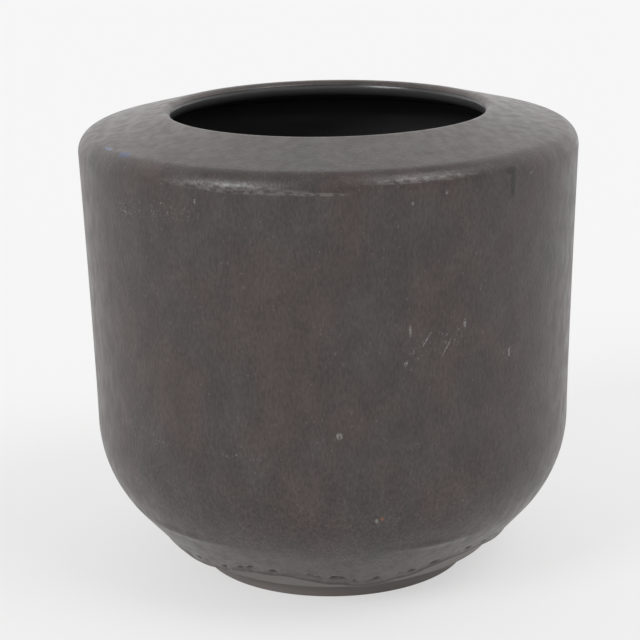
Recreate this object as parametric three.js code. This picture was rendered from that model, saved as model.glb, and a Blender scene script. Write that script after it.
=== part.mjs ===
// Stoneware vase, thrown on a wheel and fired in one piece: a clay body with a trimmed foot, a matt
// glaze coat outside and a gloss glaze lining inside. Millimetres, +Z up, and the origin is the middle
// of the face that the foot stands on.
import * as THREE from "three";

// Fineness of the turned surfaces
const sides = 48;
const arcStep = 18; // the most degrees between two points of a round stretch
const wallSteps = 4;

// Foot of the clay body
const footRadius = 48.7;
const footHeight = 3.6;
const footEdge = 0.8; // softened corner that stands on the table
const footRingWidth = 9;
const footRecess = 2.5; // how far the underside is hollowed
const recessSlope = 1.5; // width of the sloping side of that hollow

// Outside of the clay body, from the flare above the foot up to the wall
const flareRadius = 58.2;
const flareHeight = 8.5;
const bellyRadius = 45.5; // round between the bevel and the wall
const bellyHeight = 54.8; // where that round ends and the wall begins
const lowWallRadius = 83.9;
const topWallRadius = 86.4;
const wallSwell = 1.3; // above 1, the wall widens more towards the shoulder
const wallLength = 97.2; // from the belly's round to the shoulder's round
const shoulderBend = 6;
const shoulderRise = 9.8; // from the middle of the shoulder's round to the middle of the lip
const mouthRadius = 55.9;

// Thicknesses and inside rounds of the clay body
const wallThickness = 4.5;
const shoulderThickness = 3.8;
const floorThickness = 6;
const innerBend = 8;
const floorRound = 14;

// Glazes
const bondGap = 0.3; // kept between the clay and each glaze, and where the glazes meet on the lip
const outerGlazeThickness = 0.8;
const innerGlazeThickness = 0.8;
const edgeRoll = 0.25; // how far the glaze bulges at its lower edge
const edgeRetreat = 3.5; // how far the lower edge stands back from the foot, on average
const edgeWaves = [
  { count: 3, size: 1.2, turn: 20 },
  { count: 7, size: 0.5, turn: 130 },
];

const toRadians = THREE.MathUtils.degToRad;
const toDegrees = THREE.MathUtils.radToDeg;
const point = (radius, height) => new THREE.Vector2(radius, height);
const facing = (degrees) => point(Math.cos(toRadians(degrees)), Math.sin(toRadians(degrees)));

// Bevel: the straight line from the flare that just touches the belly's round
const flare = point(flareRadius, flareHeight);
const bellyCentre = point(lowWallRadius - bellyRadius, bellyHeight);
const flareToBelly = bellyCentre.clone().sub(flare);
const bevelSlope = toDegrees(flareToBelly.angle() - Math.asin(bellyRadius / flareToBelly.length()));
const bevelFacing = bevelSlope - 90;

// Shoulder: the straight line that touches the bend at the wall and the full round of the lip
const lipRound = shoulderThickness / 2;
const bendCentre = point(topWallRadius - shoulderBend, bellyHeight + wallLength);
const lipCentre = point(mouthRadius + lipRound, bendCentre.y + shoulderRise);
const bendToLip = lipCentre.clone().sub(bendCentre);
const shoulderFacing = toDegrees(
  bendToLip.angle() - Math.acos((shoulderBend - lipRound) / bendToLip.length()),
);
const crestFacing = 90;

// Inside bend below the shoulder, touching the underside of the shoulder and the inside of the wall
const shoulderOut = facing(shoulderFacing);
const undersideLevel = shoulderOut.dot(bendCentre) + shoulderBend - shoulderThickness;
const innerBendRadius = topWallRadius - wallThickness - innerBend;
const innerBendCentre = point(
  innerBendRadius,
  (undersideLevel - innerBend - shoulderOut.x * innerBendRadius) / shoulderOut.y,
);

// Round between the flat floor and the inside of the bevel
const floorHeight = footRecess + floorThickness;
const bevelOut = facing(bevelFacing);
const innerBevelLevel = bevelOut.dot(bellyCentre) + bellyRadius - wallThickness;
const floorCentreHeight = floorHeight + floorRound;
const floorCentre = point(
  (innerBevelLevel - floorRound - bevelOut.y * floorCentreHeight) / bevelOut.x,
  floorCentreHeight,
);

// Trimmed flare between the foot and the bevel
const footTop = point(footRadius, footHeight);
const flareRun = flare.clone().sub(footTop).normalize();
const flareOut = point(flareRun.y, -flareRun.x);

// Points of a round stretch, from one facing to another, both in degrees
function arc(centre, radius, from, to) {
  const steps = Math.max(1, Math.ceil(Math.abs(to - from) / arcStep));
  return Array.from({ length: steps + 1 }, (_, i) =>
    facing(from + ((to - from) * i) / steps).multiplyScalar(radius).add(centre),
  );
}

// Radius of the clay wall's outside, which widens a little on its way up to the shoulder
function wallRadius(height) {
  const share = (height - bellyHeight) / wallLength;
  return lowWallRadius + (topWallRadius - lowWallRadius) * share ** wallSwell;
}

// Points of the wall between its two rounds, moved outward by offset
function wallPoints(topHeight, offset) {
  return Array.from({ length: wallSteps - 1 }, (_, i) => {
    const height = bellyHeight + ((topHeight - bellyHeight) * (i + 1)) / wallSteps;
    return point(wallRadius(height) + offset, height);
  });
}

// Outside of the glazed clay from the foot's top to lipFacing on the lip, moved outward by skin
function outsidePath(skin, lipFacing) {
  const corner = flareOut.clone().add(bevelOut).multiplyScalar(skin / (1 + flareOut.dot(bevelOut)));
  return [
    flareOut.clone().multiplyScalar(skin).add(footTop),
    corner.add(flare),
    ...arc(bellyCentre, bellyRadius + skin, bevelFacing, 0),
    ...wallPoints(bendCentre.y, skin),
    ...arc(bendCentre, shoulderBend + skin, 0, shoulderFacing),
    ...arc(lipCentre, lipRound + skin, shoulderFacing, lipFacing),
  ];
}

// Inside of the clay from lipFacing on the lip down to the middle of the floor, moved inward by skin
function insidePath(skin, lipFacing) {
  return [
    ...arc(lipCentre, lipRound + skin, lipFacing, shoulderFacing + 180),
    ...arc(innerBendCentre, innerBend - skin, shoulderFacing, 0),
    ...wallPoints(innerBendCentre.y, -wallThickness - skin).reverse(),
    ...arc(bellyCentre, bellyRadius - wallThickness - skin, 0, bevelFacing),
    ...arc(floorCentre, floorRound - skin, bevelFacing, -90),
    point(0, floorHeight + skin),
  ];
}

// A closed profile turned round the +Z axis
function turned(profile) {
  return new THREE.LatheGeometry(profile, sides).rotateX(Math.PI / 2);
}

function clayBody() {
  const ringInside = footRadius - footRingWidth;
  const foot = [
    point(0, footRecess),
    point(ringInside - recessSlope, footRecess),
    point(ringInside, 0),
    point(footRadius - footEdge, 0),
    point(footRadius, footEdge),
  ];
  return turned([...foot, ...outsidePath(0, crestFacing), ...insidePath(0, crestFacing).slice(1)]);
}

// How far the outer glaze's lower edge stands back from the foot at an angle, in mm along the flare
function edgeStandsBack(angle) {
  return edgeWaves.reduce(
    (sum, wave) => sum + wave.size * Math.sin(wave.count * angle + toRadians(wave.turn)),
    edgeRetreat,
  );
}

function outerGlaze() {
  const clayFace = outsidePath(bondGap, crestFacing).reverse();
  const openFace = outsidePath(bondGap + outerGlazeThickness, crestFacing);
  const roll = clayFace.at(-1).clone().add(openFace[0]).multiplyScalar(0.5).addScaledVector(flareRun, -edgeRoll);
  const profile = [roll, ...openFace, ...clayFace, roll];
  const geometry = turned(profile);
  const edgePoints = [0, 1, profile.length - 2, profile.length - 1];
  const position = geometry.getAttribute("position");
  for (let side = 0; side <= sides; side++) {
    const angle = (side / sides) * 2 * Math.PI;
    const back = flareRun.clone().multiplyScalar(edgeStandsBack(angle));
    for (const index of edgePoints.map((i) => side * profile.length + i)) {
      position.setXYZ(
        index,
        position.getX(index) + back.x * Math.sin(angle),
        position.getY(index) - back.x * Math.cos(angle),
        position.getZ(index) + back.y,
      );
    }
  }
  return geometry;
}

function innerGlaze() {
  // The lining starts one gap past the crest, where the outer coat ends
  const start = crestFacing + toDegrees(bondGap / (lipRound + bondGap));
  const clayFace = insidePath(bondGap, start).reverse();
  const openFace = insidePath(bondGap + innerGlazeThickness, start);
  return turned([...clayFace, ...openFace]);
}

function piece(name, geometry, color, roughness) {
  const mesh = new THREE.Mesh(
    geometry,
    new THREE.MeshStandardMaterial({ color, roughness, metalness: 0 }),
  );
  mesh.name = name;
  return mesh;
}

const vase = new THREE.Group();
vase.add(
  piece("clay_body", clayBody(), 0x5a5451, 0.85),
  piece("outer_glaze", outerGlaze(), 0x544c49, 0.5),
  piece("inner_glaze", innerGlaze(), 0x161617, 0.2),
);

export default vase;
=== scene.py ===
import math

import bpy
import numpy as np
from mathutils import Matrix, Vector


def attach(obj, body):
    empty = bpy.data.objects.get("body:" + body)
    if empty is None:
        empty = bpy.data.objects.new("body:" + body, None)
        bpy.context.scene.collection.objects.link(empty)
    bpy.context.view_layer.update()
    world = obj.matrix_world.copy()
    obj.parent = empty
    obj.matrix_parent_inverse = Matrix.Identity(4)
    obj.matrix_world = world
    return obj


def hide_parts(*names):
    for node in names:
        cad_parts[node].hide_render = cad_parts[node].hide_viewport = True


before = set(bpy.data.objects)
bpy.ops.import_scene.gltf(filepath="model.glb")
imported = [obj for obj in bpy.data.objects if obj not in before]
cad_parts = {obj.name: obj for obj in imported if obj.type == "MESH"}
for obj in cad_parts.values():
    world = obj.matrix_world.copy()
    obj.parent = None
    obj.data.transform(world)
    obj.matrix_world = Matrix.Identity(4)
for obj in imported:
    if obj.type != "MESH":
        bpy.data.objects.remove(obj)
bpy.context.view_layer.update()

# Clay body
# The thrown vessel itself: dark stoneware, fired once, with the foot and the bevel above it trimmed
# on the wheel. Only the foot shows, bare, smooth and dull.
MM = 0.001
FOOT_RADIUS = 48.7
FOOT_HEIGHT = 3.6
FOOT_EDGE = 0.8
RING_INSIDE = 39.7
RECESS = 2.5
FLARE_RADIUS = 58.2
FLARE_HEIGHT = 8.5
FLARE_ROUND = 3.0
BELLY_ROUND = 45.5
BELLY_HEIGHT = 54.8
LOW_WALL = 83.9
TOP_WALL = 86.4
WALL_SWELL = 1.3
WALL_LENGTH = 97.2
SHOULDER_BEND = 6.0
SHOULDER_RISE = 9.8
MOUTH_RADIUS = 55.9
WALL_THICKNESS = 4.5
SHOULDER_THICKNESS = 3.8
FLOOR_HEIGHT = 8.5
INNER_BEND = 8.0
FLOOR_ROUND = 14.0
LIP_ROUND = SHOULDER_THICKNESS / 2
WALL_ROWS = 50
RECESS_FLAT = RING_INSIDE - 1.5
RECESS_CORNER = RING_INSIDE - 1.9
RECESS_ROUND = 0.6
CLAY_SIDES = 192
CLAY_COLOUR = (0.19, 0.170, 0.160, 1)
CLAY_ROUGHNESS = 0.62
CLAY_GRAIN = 900


def facing(degrees):
    """A unit direction in the upright cut, from 0 outward to 90 upward."""
    return np.array([math.cos(math.radians(degrees)), math.sin(math.radians(degrees))])


def arc(centre, radius, start, end):
    """Points of a round stretch of the cut, 3 degrees apart or less, from one facing to another."""
    turns = np.radians(np.linspace(start, end, max(3, math.ceil(abs(end - start) / 3) + 1)))
    return np.asarray(centre) + radius * np.stack([np.cos(turns), np.sin(turns)], 1)


def straight(start, end, step=1.0):
    """Points of a straight stretch of the cut, without its ends."""
    start, end = np.asarray(start, float), np.asarray(end, float)
    count = max(3, math.ceil(np.linalg.norm(end - start) / step) + 1)
    return start + (end - start) * np.linspace(0, 1, count)[1:-1, None]


# The bevel's straight line just touches the belly's round, and the shoulder's touches the bend at
# its outer end and the lip at its inner end
flare_end = np.array([FLARE_RADIUS, FLARE_HEIGHT])
foot_top = np.array([FOOT_RADIUS, FOOT_HEIGHT])
belly_centre = np.array([LOW_WALL - BELLY_ROUND, BELLY_HEIGHT])
to_belly = belly_centre - flare_end
slope_to_belly = math.atan2(to_belly[1], to_belly[0])
bevel_slope = slope_to_belly - math.asin(BELLY_ROUND / np.linalg.norm(to_belly))
BEVEL_FACING = math.degrees(bevel_slope) - 90
flare_run = (flare_end - foot_top) / np.linalg.norm(flare_end - foot_top)
FLARE_FACING = math.degrees(math.atan2(flare_run[1], flare_run[0])) - 90
bend_centre = np.array([TOP_WALL - SHOULDER_BEND, BELLY_HEIGHT + WALL_LENGTH])
lip_centre = np.array([MOUTH_RADIUS + LIP_ROUND, bend_centre[1] + SHOULDER_RISE])
to_lip = lip_centre - bend_centre
shoulder_turn = math.acos((SHOULDER_BEND - LIP_ROUND) / np.linalg.norm(to_lip))
SHOULDER_FACING = math.degrees(math.atan2(to_lip[1], to_lip[0]) - shoulder_turn)
shoulder_out = facing(SHOULDER_FACING)
underside = shoulder_out @ bend_centre + SHOULDER_BEND - SHOULDER_THICKNESS
inner_bend_radius = TOP_WALL - WALL_THICKNESS - INNER_BEND
inner_bend_height = underside - INNER_BEND - shoulder_out[0] * inner_bend_radius
inner_bend = np.array([inner_bend_radius, inner_bend_height / shoulder_out[1]])
bevel_out = facing(BEVEL_FACING)
inner_bevel = bevel_out @ belly_centre + BELLY_ROUND - WALL_THICKNESS
floor_centre_height = FLOOR_HEIGHT + FLOOR_ROUND
floor_reach = inner_bevel - FLOOR_ROUND - bevel_out[1] * floor_centre_height
floor_centre = np.array([floor_reach / bevel_out[0], floor_centre_height])

# The corner between flare and bevel is softened by a round that touches both
half_corner = math.radians((BEVEL_FACING - FLARE_FACING) / 2)
corner_out = facing((BEVEL_FACING + FLARE_FACING) / 2)
corner_centre = flare_end - corner_out * FLARE_ROUND / math.cos(half_corner)


def wall(low, high, offset):
    """Points of the wall between two heights, whose radius grows by a power of the height."""
    heights = np.linspace(low, high, WALL_ROWS)[1:-1]
    share = (heights - BELLY_HEIGHT) / WALL_LENGTH
    radii = LOW_WALL + (TOP_WALL - LOW_WALL) * share**WALL_SWELL + offset
    return np.stack([radii, heights], 1)


def outside(lip_facing):
    """The clay's outer line, from the foot's top to a facing on the lip."""
    bevel_start = corner_centre + facing(BEVEL_FACING) * FLARE_ROUND
    bevel_end = belly_centre + bevel_out * BELLY_ROUND
    shoulder_start = bend_centre + shoulder_out * SHOULDER_BEND
    shoulder_end = lip_centre + shoulder_out * LIP_ROUND
    return np.concatenate(
        [
            [foot_top],
            straight(foot_top, corner_centre + facing(FLARE_FACING) * FLARE_ROUND),
            arc(corner_centre, FLARE_ROUND, FLARE_FACING, BEVEL_FACING),
            straight(bevel_start, bevel_end),
            arc(belly_centre, BELLY_ROUND, BEVEL_FACING, 0),
            wall(BELLY_HEIGHT, bend_centre[1], 0),
            arc(bend_centre, SHOULDER_BEND, 0, SHOULDER_FACING),
            straight(shoulder_start, shoulder_end),
            arc(lip_centre, LIP_ROUND, SHOULDER_FACING, lip_facing),
        ]
    )


def inside(skin, lip_facing):
    """The inner line, from a facing on the lip to the floor's middle, moved inward by skin."""
    return np.concatenate(
        [
            arc(lip_centre, LIP_ROUND + skin, lip_facing, SHOULDER_FACING + 180),
            arc(inner_bend, INNER_BEND - skin, SHOULDER_FACING, 0),
            wall(BELLY_HEIGHT, inner_bend[1], -WALL_THICKNESS - skin)[::-1],
            arc(belly_centre, BELLY_ROUND - WALL_THICKNESS - skin, 0, BEVEL_FACING),
            arc(floor_centre, FLOOR_ROUND - skin, BEVEL_FACING, -90),
            [(0, FLOOR_HEIGHT + skin)],
        ]
    )


def turned(name, radii, heights, closed, material):
    """A piece turned round the upright axis.

    radii and heights are in mm, with a row for each point of the cut and a column for each angle,
    which starts at the front and turns to the right. A closed cut joins its last row to its first.
    An open one has its ends on the axis, and each end is one point with a fan of triangles.
    """
    rows, sides = radii.shape
    angles = np.linspace(0, 2 * math.pi, sides, endpoint=False)
    points = np.stack([radii * np.sin(angles), -radii * np.cos(angles), heights], 2)
    ring = np.arange(sides)
    after = np.roll(ring, -1)
    start = np.arange(rows if closed else rows - 1)[:, None] * sides
    end = (start + sides) % (rows * sides)
    quads = np.stack([start + ring, start + after, end + after, end + ring], 2).reshape(-1, 4)
    points = points.reshape(-1, 3) * MM
    faces = quads.tolist()
    if not closed:
        ends = np.array([[0, 0, heights[0, 0]], [0, 0, heights[-1, 0]]]) * MM
        first, last = rows * sides, rows * sides + 1
        top = (rows - 1) * sides
        points = np.concatenate([points, ends])
        faces += np.stack([np.full(sides, first), after, ring], 1).tolist()
        faces += np.stack([np.full(sides, last), top + ring, top + after], 1).tolist()
    mesh = bpy.data.meshes.new(name)
    mesh.from_pydata(points, [], faces)
    mesh.shade_smooth()
    mesh.materials.append(material)
    piece = bpy.data.objects.new(name, mesh)
    bpy.context.scene.collection.objects.link(piece)
    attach(piece, "root")
    return piece


def node(tree, kind, inputs=None, **settings):
    """Adds a shader node. Each input is a value, or the output of another node."""
    made = tree.nodes.new(kind)
    for name, value in settings.items():
        setattr(made, name, value)
    for name, value in (inputs or {}).items():
        if isinstance(value, bpy.types.NodeSocket):
            tree.links.new(value, made.inputs[name])
        else:
            made.inputs[name].default_value = value
    return made


def maths(tree, operation, first, second=0.0):
    """The output of a Math node."""
    return node(tree, "ShaderNodeMath", {0: first, 1: second}, operation=operation).outputs[0]


def ramp(tree, value, low, high, to_low=0.0, to_high=1.0):
    """value carried smoothly from the range low to high into another one, and clamped."""
    inputs = {"Value": value, "From Min": low, "From Max": high}
    inputs |= {"To Min": to_low, "To Max": to_high}
    made = node(tree, "ShaderNodeMapRange", inputs, interpolation_type="SMOOTHSTEP")
    return made.outputs["Result"]


def tinted(tree, share, first, second):
    """first turned into second by a share; each is a colour or the output of another node."""
    inputs = {"Factor": share, 6: first, 7: second}
    return node(tree, "ShaderNodeMix", inputs, data_type="RGBA").outputs[2]


def new_group(name, inputs):
    """A shader node group with float or vector inputs and one output, Value."""
    group = bpy.data.node_groups.new(name, "ShaderNodeTree")
    for label, kind in inputs.items():
        group.interface.new_socket(label, in_out="INPUT", socket_type=kind)
    group.interface.new_socket("Value", in_out="OUTPUT", socket_type="NodeSocketFloat")
    return group, group.nodes.new("NodeGroupInput").outputs, group.nodes.new("NodeGroupOutput")


def new_material(name, roughness):
    """A material with its node tree and its Principled shader."""
    material = bpy.data.materials.new(name)
    material.use_nodes = True
    shader = material.node_tree.nodes["Principled BSDF"]
    shader.inputs["Roughness"].default_value = roughness
    return material, material.node_tree, shader


def bumped(tree, shader, height, strength, distance):
    """Joins a height to the shader's normal."""
    inputs = {"Height": height, "Strength": strength, "Distance": distance}
    bump = node(tree, "ShaderNodeBump", inputs)
    tree.links.new(bump.outputs["Normal"], shader.inputs["Normal"])


# Fine noise through the object's own space, drawn out by a factor for each axis
grain_inputs = {"Stretch": "NodeSocketVector", "Scale": "NodeSocketFloat"}
grain_group, given, result = new_group("grain", grain_inputs)
place = node(grain_group, "ShaderNodeTexCoord").outputs["Object"]
spread = node(grain_group, "ShaderNodeMapping", {"Vector": place, "Scale": given["Stretch"]})
inputs = {"Vector": spread.outputs["Vector"], "Scale": given["Scale"], "Detail": 3.0}
noise = node(grain_group, "ShaderNodeTexNoise", inputs)
grain_group.links.new(noise.outputs["Fac"], result.inputs["Value"])


def grain(tree, stretch, scale):
    """The output of a grain group."""
    made = node(tree, "ShaderNodeGroup", node_tree=grain_group)
    made.inputs["Stretch"].default_value = stretch
    made.inputs["Scale"].default_value = scale
    return made.outputs["Value"]


clay_material, tree, shader = new_material("stoneware", CLAY_ROUGHNESS)
shader.inputs["Base Color"].default_value = CLAY_COLOUR
bumped(tree, shader, grain(tree, (1, 1, 1), CLAY_GRAIN), 0.3, 0.0003)
clay_line = np.concatenate(
    [
        straight((0, RECESS), (RECESS_FLAT, RECESS), 3),
        arc((RECESS_CORNER, RECESS - RECESS_ROUND), RECESS_ROUND, 90, 30),
        arc((RING_INSIDE + RECESS_ROUND, RECESS_ROUND), RECESS_ROUND, 200, 270),
        arc((FOOT_RADIUS - FOOT_EDGE, FOOT_EDGE), FOOT_EDGE, -90, 0),
        outside(90),
        inside(0, 90)[:-1],
    ]
)
clay_radii, clay_heights = (np.repeat(line[:, None], CLAY_SIDES, 1) for line in clay_line.T)
clay = turned("clay", clay_radii, clay_heights, False, clay_material)
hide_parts("clay_body")

# Outer glaze
# The matt iron glaze over the outside, fused on in the kiln. It is worn at the shoulder's edge,
# where its pale colour is partly a painted highlight, carries fine upright flecks and small marks,
# and ends above the foot in a wavy, pitted bead, with painted shade in its pits and pinholes.
GLAZE_SIDES = 360
GLAZE_SKIN = 1.1
BACKING = 0.05
LIP_REACH = 150
BACK_ROWS = 24
EDGE_ROWS = 66
EDGE_ZONE = 44.0
EDGE_MEAN = 16.7
EDGE_WAVES = ((1, 3.35, -8), (3, 2.11, -128), (6, 3.22, -157), (23, 0.35, 40), (41, 0.2, 10))
EDGE_ROUND = 0.8
BEAD = 0.35
BEAD_AT = 1.0
BEAD_WIDTH = 0.8
CRAWL_AT = 4.6
CRAWL_WANDER = ((5, 0.9, 60), (17, 0.7, 150), (29, 0.4, 20))
CRAWL_PITS = ((13, 0.35, 70), (37, 0.5, 20), (59, 0.55, 100), (101, 0.6, 200))
CRAWL_DEPTH = 0.75
CRAWL_WIDTH = 0.8
THIN_REACH = 17.0
RIDGE_AT = 37.0
RIDGE_RISE = 0.5
RIDGE_WIDTH = 1.9
RIDGE_STRETCHES = ((-45, 15), (27, 11), (120, 30), (-140, 24))
BROWN = (0.051, 0.037, 0.034, 1)
GREEN_GREY = (0.045, 0.039, 0.036, 1)
THIN_COLOUR = (0.088, 0.075, 0.069, 1)
# Near black for the crawl pits and pinholes: painted shade, not the glaze's own colour
PIT_SHADE_COLOUR = (0.010, 0.009, 0.008, 1)
# Pale colour of the shoulder edge's worn stretches: partly real wear, partly a painted highlight
WEAR_AND_HIGHLIGHT_COLOUR = (0.17, 0.158, 0.150, 1)
PALE_COLOUR = (0.21, 0.205, 0.195, 1)
DRIP_COLOUR = (0.016, 0.014, 0.014, 1)
BLUE_COLOUR = (0.020, 0.045, 0.150, 1)
PALE_BLUE_COLOUR = (0.10, 0.15, 0.27, 1)
RUST_COLOUR = (0.23, 0.085, 0.045, 1)
GLAZE_ROUGHNESS = 0.36
WORN_ROUGHNESS = 0.24

# Grains to the metre in each pattern of the glaze
PATCHES = 34
STREAKS = 1350
CLOUDS = 120
CRUMBS = 950
MOTTLE = 420
SPECKS = 1250
CHIPS = 1500
RUBBING = 420
BROKEN = 1700
DRYNESS = 260
TOOTH = 1000
COARSE = 300

# Each mark has its turn to the right and half its width in degrees, its height and half its height
# in mm, and its lean in mm up for each degree to the right
# Stretches of wear on the shoulder's edge, whose pale colour also paints in the lamps' highlight
WEAR_AND_HIGHLIGHT_STRETCHES = (
    (-21, 20, 153.5, 1.7, -0.04),
    (-3, 9, 152.4, 0.7, -0.02),
    (20, 15, 155.3, 1.0, 0),
    (96, 26, 154.2, 1.5, 0.01),
    (168, 30, 154.6, 1.4, -0.01),
    (-112, 28, 154.0, 1.6, 0.02),
)
SCUFFED_PLACES = (
    (-49, 13, 64.5, 3.2, -0.10),
    (-22, 9, 63.8, 1.6, -0.05),
    (24, 11, 102, 5.0, 0.2),
    (43, 3, 93, 4.0, 0),
    (30, 7, 43.7, 1.8, 0.05),
    (18, 7, 67.3, 1.2, 0),
    (-42, 20, 143, 4.0, 0.1),
    (130, 16, 84, 5.0, -0.1),
    (-150, 20, 58, 3.5, 0.1),
)
PALE_MARKS = (
    (1.4, 0.9, 72.4, 1.4, 0),
    (9.6, 0.5, 41.6, 1.1, 0),
    (48.5, 0.4, 152.0, 0.5, 0),
    (25.0, 0.4, 150.8, 0.9, 0.3),
    (17.4, 0.4, 148.1, 0.8, 0),
    (17.0, 0.3, 106.5, 2.6, 0),
    (16.0, 0.6, 95.5, 1.0, 1.2),
    (20.8, 1.3, 103.0, 0.5, 2.2),
    (25.6, 1.5, 99.5, 0.5, 2.6),
    (30.0, 0.4, 106.5, 1.8, 0),
    (43.0, 0.4, 93.0, 2.2, 0),
    (-29.0, 0.4, 148.5, 0.9, 0),
    (-38.0, 1.0, 146.5, 0.3, 0.2),
    (-50.0, 0.9, 141.0, 0.3, -0.3),
)
# Pinholes, drawn only as dots of painted shade, with no hole in the surface
PINHOLE_SHADES = (
    (-36.5, 0.45, 32.5, 0.55, 0),
    (-49.2, 0.45, 49.0, 0.55, 0),
    (-61.7, 0.45, 51.0, 0.55, 0),
)
DRIPS = ((42.2, 1.8, 154.3, 1.5, 0), (42.5, 0.9, 150.0, 5.6, 0))
BLUE_STAINS = ((-53.4, 2.6, 158.5, 0.8, 0),)
PALE_BLUE_STAINS = ((-61.4, 2.8, 158.6, 0.25, 0),)
RUST_SPECKS = ((10.9, 0.6, 42.4, 1.1, 0),)

angles = np.linspace(0, 2 * math.pi, GLAZE_SIDES, endpoint=False)
turns = (np.degrees(angles) + 180) % 360 - 180


def waves(terms):
    """The sum over the angles of (count, size, turn in degrees) sine waves."""
    return sum(size * np.sin(count * angles + math.radians(turn)) for count, size, turn in terms)


def swell(values, middle, width):
    """A bell-shaped rise to 1 at the middle."""
    return np.exp(-(((values - middle) / width) ** 2))


glaze_line = outside(LIP_REACH)
steps = np.linalg.norm(np.diff(glaze_line, axis=0), axis=1)
glaze_line = glaze_line[np.append(True, steps > 1e-6)]
run = np.append(0, np.cumsum(steps[steps > 1e-6]))
way = np.gradient(glaze_line, run, axis=0)
way /= np.linalg.norm(way, axis=1)[:, None]


def on_clay(distances):
    """Radii, heights and outward normals of the clay's outer line at distances along it."""
    values = (*glaze_line.T, way[:, 1], -way[:, 0])
    return [np.interp(distances, run, value) for value in values]


# The open side of the coat starts at the wavy edge, and its rows are close together there
edge = EDGE_MEAN + waves(EDGE_WAVES)
low = edge + (EDGE_ZONE - edge) * np.linspace(0, 1, EDGE_ROWS)[:, None] ** 1.25
high = run[run > EDGE_ZONE + 0.5][:, None] * np.ones(GLAZE_SIDES)
distance = np.concatenate([low, high])
from_edge = distance - edge
rounding = np.sqrt(1 - (1 - np.clip(from_edge / EDGE_ROUND, 0, 1)) ** 2)
crawl = swell(from_edge, CRAWL_AT + waves(CRAWL_WANDER), CRAWL_WIDTH)
pit = crawl * np.clip(waves(CRAWL_PITS), 0, 1)
ridge_share = sum(swell(turns, middle, width) for middle, width in RIDGE_STRETCHES)
ridge = RIDGE_RISE * swell(distance, RIDGE_AT, RIDGE_WIDTH) * ridge_share
thickness = GLAZE_SKIN + BEAD * swell(from_edge, BEAD_AT, BEAD_WIDTH) - CRAWL_DEPTH * pit
thickness = thickness * rounding + ridge
radii, heights, out_r, out_z = on_clay(distance)
open_radii, open_heights = radii + out_r * thickness, heights + out_z * thickness

# The hidden side runs back down just clear of the clay
back = edge + (run[-1] - edge) * np.linspace(1, 0, BACK_ROWS)[:, None]
radii, heights, out_r, out_z = on_clay(back)
back_radii, back_heights = radii + out_r * BACKING, heights + out_z * BACKING

# A soft oval on the vase, 1 inside and 0 outside
mark_inputs = ("Turn", "Half Turn", "Height", "Half Height", "Lean")
mark_group, given, result = new_group("mark", dict.fromkeys(mark_inputs, "NodeSocketFloat"))
place = node(mark_group, "ShaderNodeTexCoord").outputs["Object"]
axes = node(mark_group, "ShaderNodeSeparateXYZ", {0: place}).outputs
to_front = maths(mark_group, "MULTIPLY", axes["Y"], -1)
turn = maths(mark_group, "DEGREES", maths(mark_group, "ARCTAN2", axes["X"], to_front))
aside = maths(mark_group, "SUBTRACT", turn, given["Turn"])
above = maths(mark_group, "SUBTRACT", maths(mark_group, "DIVIDE", axes["Z"], MM), given["Height"])
above = maths(mark_group, "SUBTRACT", above, maths(mark_group, "MULTIPLY", aside, given["Lean"]))
across = maths(mark_group, "POWER", maths(mark_group, "DIVIDE", aside, given["Half Turn"]), 2)
upward = maths(mark_group, "POWER", maths(mark_group, "DIVIDE", above, given["Half Height"]), 2)
oval = ramp(mark_group, maths(mark_group, "ADD", across, upward), 0.3, 1, 1, 0)
mark_group.links.new(oval, result.inputs["Value"])


def marked(tree, marks):
    """The output that is 1 inside any of the marks."""
    share = None
    for values in marks:
        made = node(tree, "ShaderNodeGroup", node_tree=mark_group)
        for label, value in zip(mark_inputs, values, strict=True):
            made.inputs[label].default_value = value
        oval = made.outputs["Value"]
        share = oval if share is None else maths(tree, "MAXIMUM", share, oval)
    return share


def times(tree, first, second):
    """The product of two values."""
    return maths(tree, "MULTIPLY", first, second)


glaze_material, tree, shader = new_material("matt_glaze", GLAZE_ROUGHNESS)
place = node(tree, "ShaderNodeTexCoord").outputs["Object"]
height = node(tree, "ShaderNodeSeparateXYZ", {0: place}).outputs["Z"]
patches = ramp(tree, grain(tree, (1, 1, 0.8), PATCHES), 0.40, 0.64)
tone = tinted(tree, patches, BROWN, GREEN_GREY)
streaks = ramp(tree, grain(tree, (1, 1, 0.38), STREAKS), 0.3, 0.7, 0.80, 1.22)
clouds = ramp(tree, grain(tree, (1, 1, 0.6), CLOUDS), 0.3, 0.7, 0.86, 1.14)
lower = ramp(tree, height, 0.075, 0.025)
crumbs = ramp(tree, grain(tree, (1, 1, 1), CRUMBS), 0.35, 0.65, -0.28, 0.30)
shade = times(tree, times(tree, streaks, clouds), maths(tree, "ADD", 1, times(tree, crumbs, lower)))
tone = node(tree, "ShaderNodeVectorMath", {0: tone, "Scale": shade}, operation="SCALE").outputs[0]
thin = node(tree, "ShaderNodeAttribute", attribute_name="thin").outputs["Fac"]
mottle = ramp(tree, grain(tree, (1, 1, 1), MOTTLE), 0.38, 0.62, 0.35, 1)
tone = tinted(tree, times(tree, thin, mottle), tone, THIN_COLOUR)
# The deeper a crawl pit, the darker its colour: painted shade in the pits
pit_shade = node(tree, "ShaderNodeAttribute", attribute_name="pit").outputs["Fac"]
tone = tinted(tree, ramp(tree, pit_shade, 0.25, 0.75), tone, PIT_SHADE_COLOUR)
specks = ramp(tree, grain(tree, (1, 1, 0.7), SPECKS), 0.66, 0.74, 0, 0.35)
tone = tinted(tree, specks, tone, PALE_COLOUR)
chips = ramp(tree, grain(tree, (1, 1, 0.8), CHIPS), 0.59, 0.70, 0, 0.5)
tone = tinted(tree, times(tree, chips, marked(tree, SCUFFED_PLACES)), tone, PALE_COLOUR)
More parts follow.
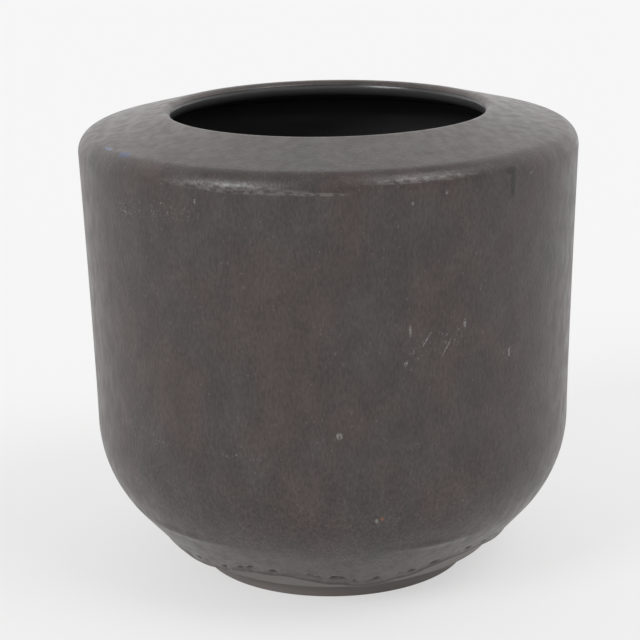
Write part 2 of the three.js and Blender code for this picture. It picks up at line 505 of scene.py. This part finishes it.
# Worn stretches turn paler and glossier: partly real wear, partly a painted highlight
rubbed = ramp(tree, grain(tree, (1, 1, 2.2), RUBBING), 0.36, 0.58)
wear_and_highlight = times(tree, rubbed, marked(tree, WEAR_AND_HIGHLIGHT_STRETCHES))
tone = tinted(tree, times(tree, wear_and_highlight, 0.5), tone, WEAR_AND_HIGHLIGHT_COLOUR)
broken = ramp(tree, grain(tree, (1, 1, 1), BROKEN), 0.36, 0.56, 0, 0.85)
tone = tinted(tree, times(tree, broken, marked(tree, PALE_MARKS)), tone, PALE_COLOUR)
tone = tinted(tree, times(tree, marked(tree, DRIPS), 0.8), tone, DRIP_COLOUR)
# Painted shade for the pinholes
tone = tinted(tree, marked(tree, PINHOLE_SHADES), tone, PIT_SHADE_COLOUR)
tone = tinted(tree, times(tree, broken, marked(tree, BLUE_STAINS)), tone, BLUE_COLOUR)
tone = tinted(tree, times(tree, broken, marked(tree, PALE_BLUE_STAINS)), tone, PALE_BLUE_COLOUR)
tone = tinted(tree, times(tree, broken, marked(tree, RUST_SPECKS)), tone, RUST_COLOUR)
tree.links.new(tone, shader.inputs["Base Color"])
dryness = ramp(tree, grain(tree, (1, 1, 0.5), DRYNESS), 0.3, 0.7, -0.05, 0.06)
roughness = maths(tree, "ADD", GLAZE_ROUGHNESS, dryness)
gloss = times(tree, wear_and_highlight, WORN_ROUGHNESS - GLAZE_ROUGHNESS)
tree.links.new(maths(tree, "ADD", roughness, gloss), shader.inputs["Roughness"])
tooth = grain(tree, (1, 1, 0.6), TOOTH)
coarse = times(tree, grain(tree, (1, 1, 1), COARSE), maths(tree, "ADD", 0.12, lower))
bumped(tree, shader, maths(tree, "ADD", tooth, coarse), 0.3, 0.0003)
outer_glaze = turned(
    "matt_glaze_coat",
    np.concatenate([open_radii, back_radii]),
    np.concatenate([open_heights, back_heights]),
    True,
    glaze_material,
)
# The pit attribute holds each pit's depth, which the glaze also uses to paint shade into the pits
for label, values in (("thin", swell(from_edge, 0, THIN_REACH)), ("pit", pit)):
    layer = outer_glaze.data.attributes.new(label, "FLOAT", "POINT")
    values = np.concatenate([values, np.zeros_like(back_radii)])
    layer.data.foreach_set("value", values.astype(np.float32).ravel())
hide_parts("outer_glaze")

# Inner glaze
# The gloss black lining, poured in and swilled round before the firing. It covers all of the inside
# and meets the matt coat on the lip.
LINING_SKIN = 0.9
LINING_START = 128
LINING_COLOUR = (0.055, 0.055, 0.056, 1)
LINING_BACKING = 0.05
LINING_ROUGHNESS = 0.22
LINING_WAVES = 60

lining_material, tree, shader = new_material("gloss_glaze", LINING_ROUGHNESS)
shader.inputs["Base Color"].default_value = LINING_COLOUR
bumped(tree, shader, grain(tree, (1, 1, 3), LINING_WAVES), 0.3, 0.001)
lining_back = inside(LINING_BACKING, LINING_START)[:-1][::-1]
lining_line = np.concatenate([lining_back, inside(LINING_SKIN, LINING_START)[:-1]])
lining_radii, lining_heights = (np.repeat(line[:, None], CLAY_SIDES, 1) for line in lining_line.T)
lining = turned("gloss_glaze_lining", lining_radii, lining_heights, False, lining_material)
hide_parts("inner_glaze")

# Floor
# A plain pale sheet that the vase stands on, which runs far enough back to fill the picture. What
# is seen of it is lifted towards white, as on a light table, and it keeps a soft shadow.
FLOOR_SIDE = 12.0
FLOOR_GLOW = 0.9
GLOW_SHARE = 0.62
FLOOR_COLOUR = (0.84, 0.835, 0.835, 1)
FLOOR_ROUGHNESS = 0.9
FLOOR_SHEEN = 0.2
floor_material, tree, shader = new_material("floor", FLOOR_ROUGHNESS)
shader.inputs["Base Color"].default_value = FLOOR_COLOUR
shader.inputs["Specular IOR Level"].default_value = FLOOR_SHEEN
rays = node(tree, "ShaderNodeLightPath").outputs
seen = maths(tree, "MAXIMUM", rays["Is Camera Ray"], rays["Is Glossy Ray"])
glow = node(tree, "ShaderNodeEmission", {"Strength": FLOOR_GLOW})
inputs = {0: times(tree, seen, GLOW_SHARE), 1: shader.outputs["BSDF"], 2: glow.outputs["Emission"]}
lifted = node(tree, "ShaderNodeMixShader", inputs)
tree.links.new(lifted.outputs["Shader"], tree.nodes["Material Output"].inputs["Surface"])
half = FLOOR_SIDE / 2
corners = [(-half, -half, 0), (half, -half, 0), (half, half, 0), (-half, half, 0)]
floor_mesh = bpy.data.meshes.new("floor")
floor_mesh.from_pydata(corners, [], [(0, 1, 2, 3)])
floor_mesh.materials.append(floor_material)
floor = bpy.data.objects.new("floor", floor_mesh)
bpy.context.scene.collection.objects.link(floor)

# Light
# A bright backdrop behind, a dim room in front and above, and two broad soft lights in front of the
# vase, the left one lower and stronger.
ROOM_DIM = 0.55
BACKDROP = 1.15
BACKDROP_SIDES = (-0.35, 0.4)
CEILING = (0.72, 0.88)
world = bpy.data.worlds.new("room")
bpy.context.scene.world = world
world.use_nodes = True
tree = world.node_tree
direction = node(tree, "ShaderNodeTexCoord").outputs["Generated"]
axes = node(tree, "ShaderNodeSeparateXYZ", {0: direction}).outputs
behind = ramp(tree, axes["Y"], *BACKDROP_SIDES)
below_top = ramp(tree, axes["Z"], *CEILING, 1, 0)
brightness = maths(tree, "MULTIPLY", behind, below_top)
brightness = maths(tree, "MULTIPLY", brightness, BACKDROP - ROOM_DIM)
brightness = maths(tree, "ADD", brightness, ROOM_DIM)
tree.links.new(brightness, tree.nodes["Background"].inputs["Strength"])
tree.nodes["Background"].inputs["Color"].default_value = (1, 1, 1, 1)


def soft_light(name, turn, rise, spread, strength):
    """A far light, spread over an angle, from turn degrees right of the front and rise up."""
    lamp = bpy.data.lights.new(name, "SUN")
    lamp.angle = math.radians(spread)
    lamp.energy = strength
    light = bpy.data.objects.new(name, lamp)
    bpy.context.scene.collection.objects.link(light)
    turn, rise = math.radians(turn), math.radians(rise)
    away = (math.sin(turn) * math.cos(rise), -math.cos(turn) * math.cos(rise), math.sin(rise))
    light.rotation_euler = Vector(away).to_track_quat("Z", "Y").to_euler()


soft_light("left window", turn=-47, rise=32, spread=26, strength=1.1)
soft_light("right window", turn=58, rise=54, spread=30, strength=0.85)

# Camera
# A long lens that looks a little down on the vase, held very slightly off level.
CAMERA_PLACE = Vector((0, -0.6797, 0.2825))
CAMERA_AIM = Vector((-0.0040, 0, 0.0869))
CAMERA_ROLL = math.radians(-1.05)
LENS = 110.1
SENSOR = 36
camera = bpy.data.objects.new("camera", bpy.data.cameras.new("camera"))
bpy.context.scene.collection.objects.link(camera)
bpy.context.scene.camera = camera
forward = (CAMERA_AIM - CAMERA_PLACE).normalized()
right = forward.cross(Vector((0, 0, 1))).normalized()
up = right.cross(forward)
side = right * math.cos(CAMERA_ROLL) + up * math.sin(CAMERA_ROLL)
top = up * math.cos(CAMERA_ROLL) - right * math.sin(CAMERA_ROLL)
turn = Matrix((side, top, -forward)).transposed().to_4x4()
camera.matrix_world = Matrix.Translation(CAMERA_PLACE) @ turn
camera.data.sensor_width = SENSOR
camera.data.lens = LENS

# Picture
# The plain view.
bpy.context.scene.view_settings.view_transform = "Standard"
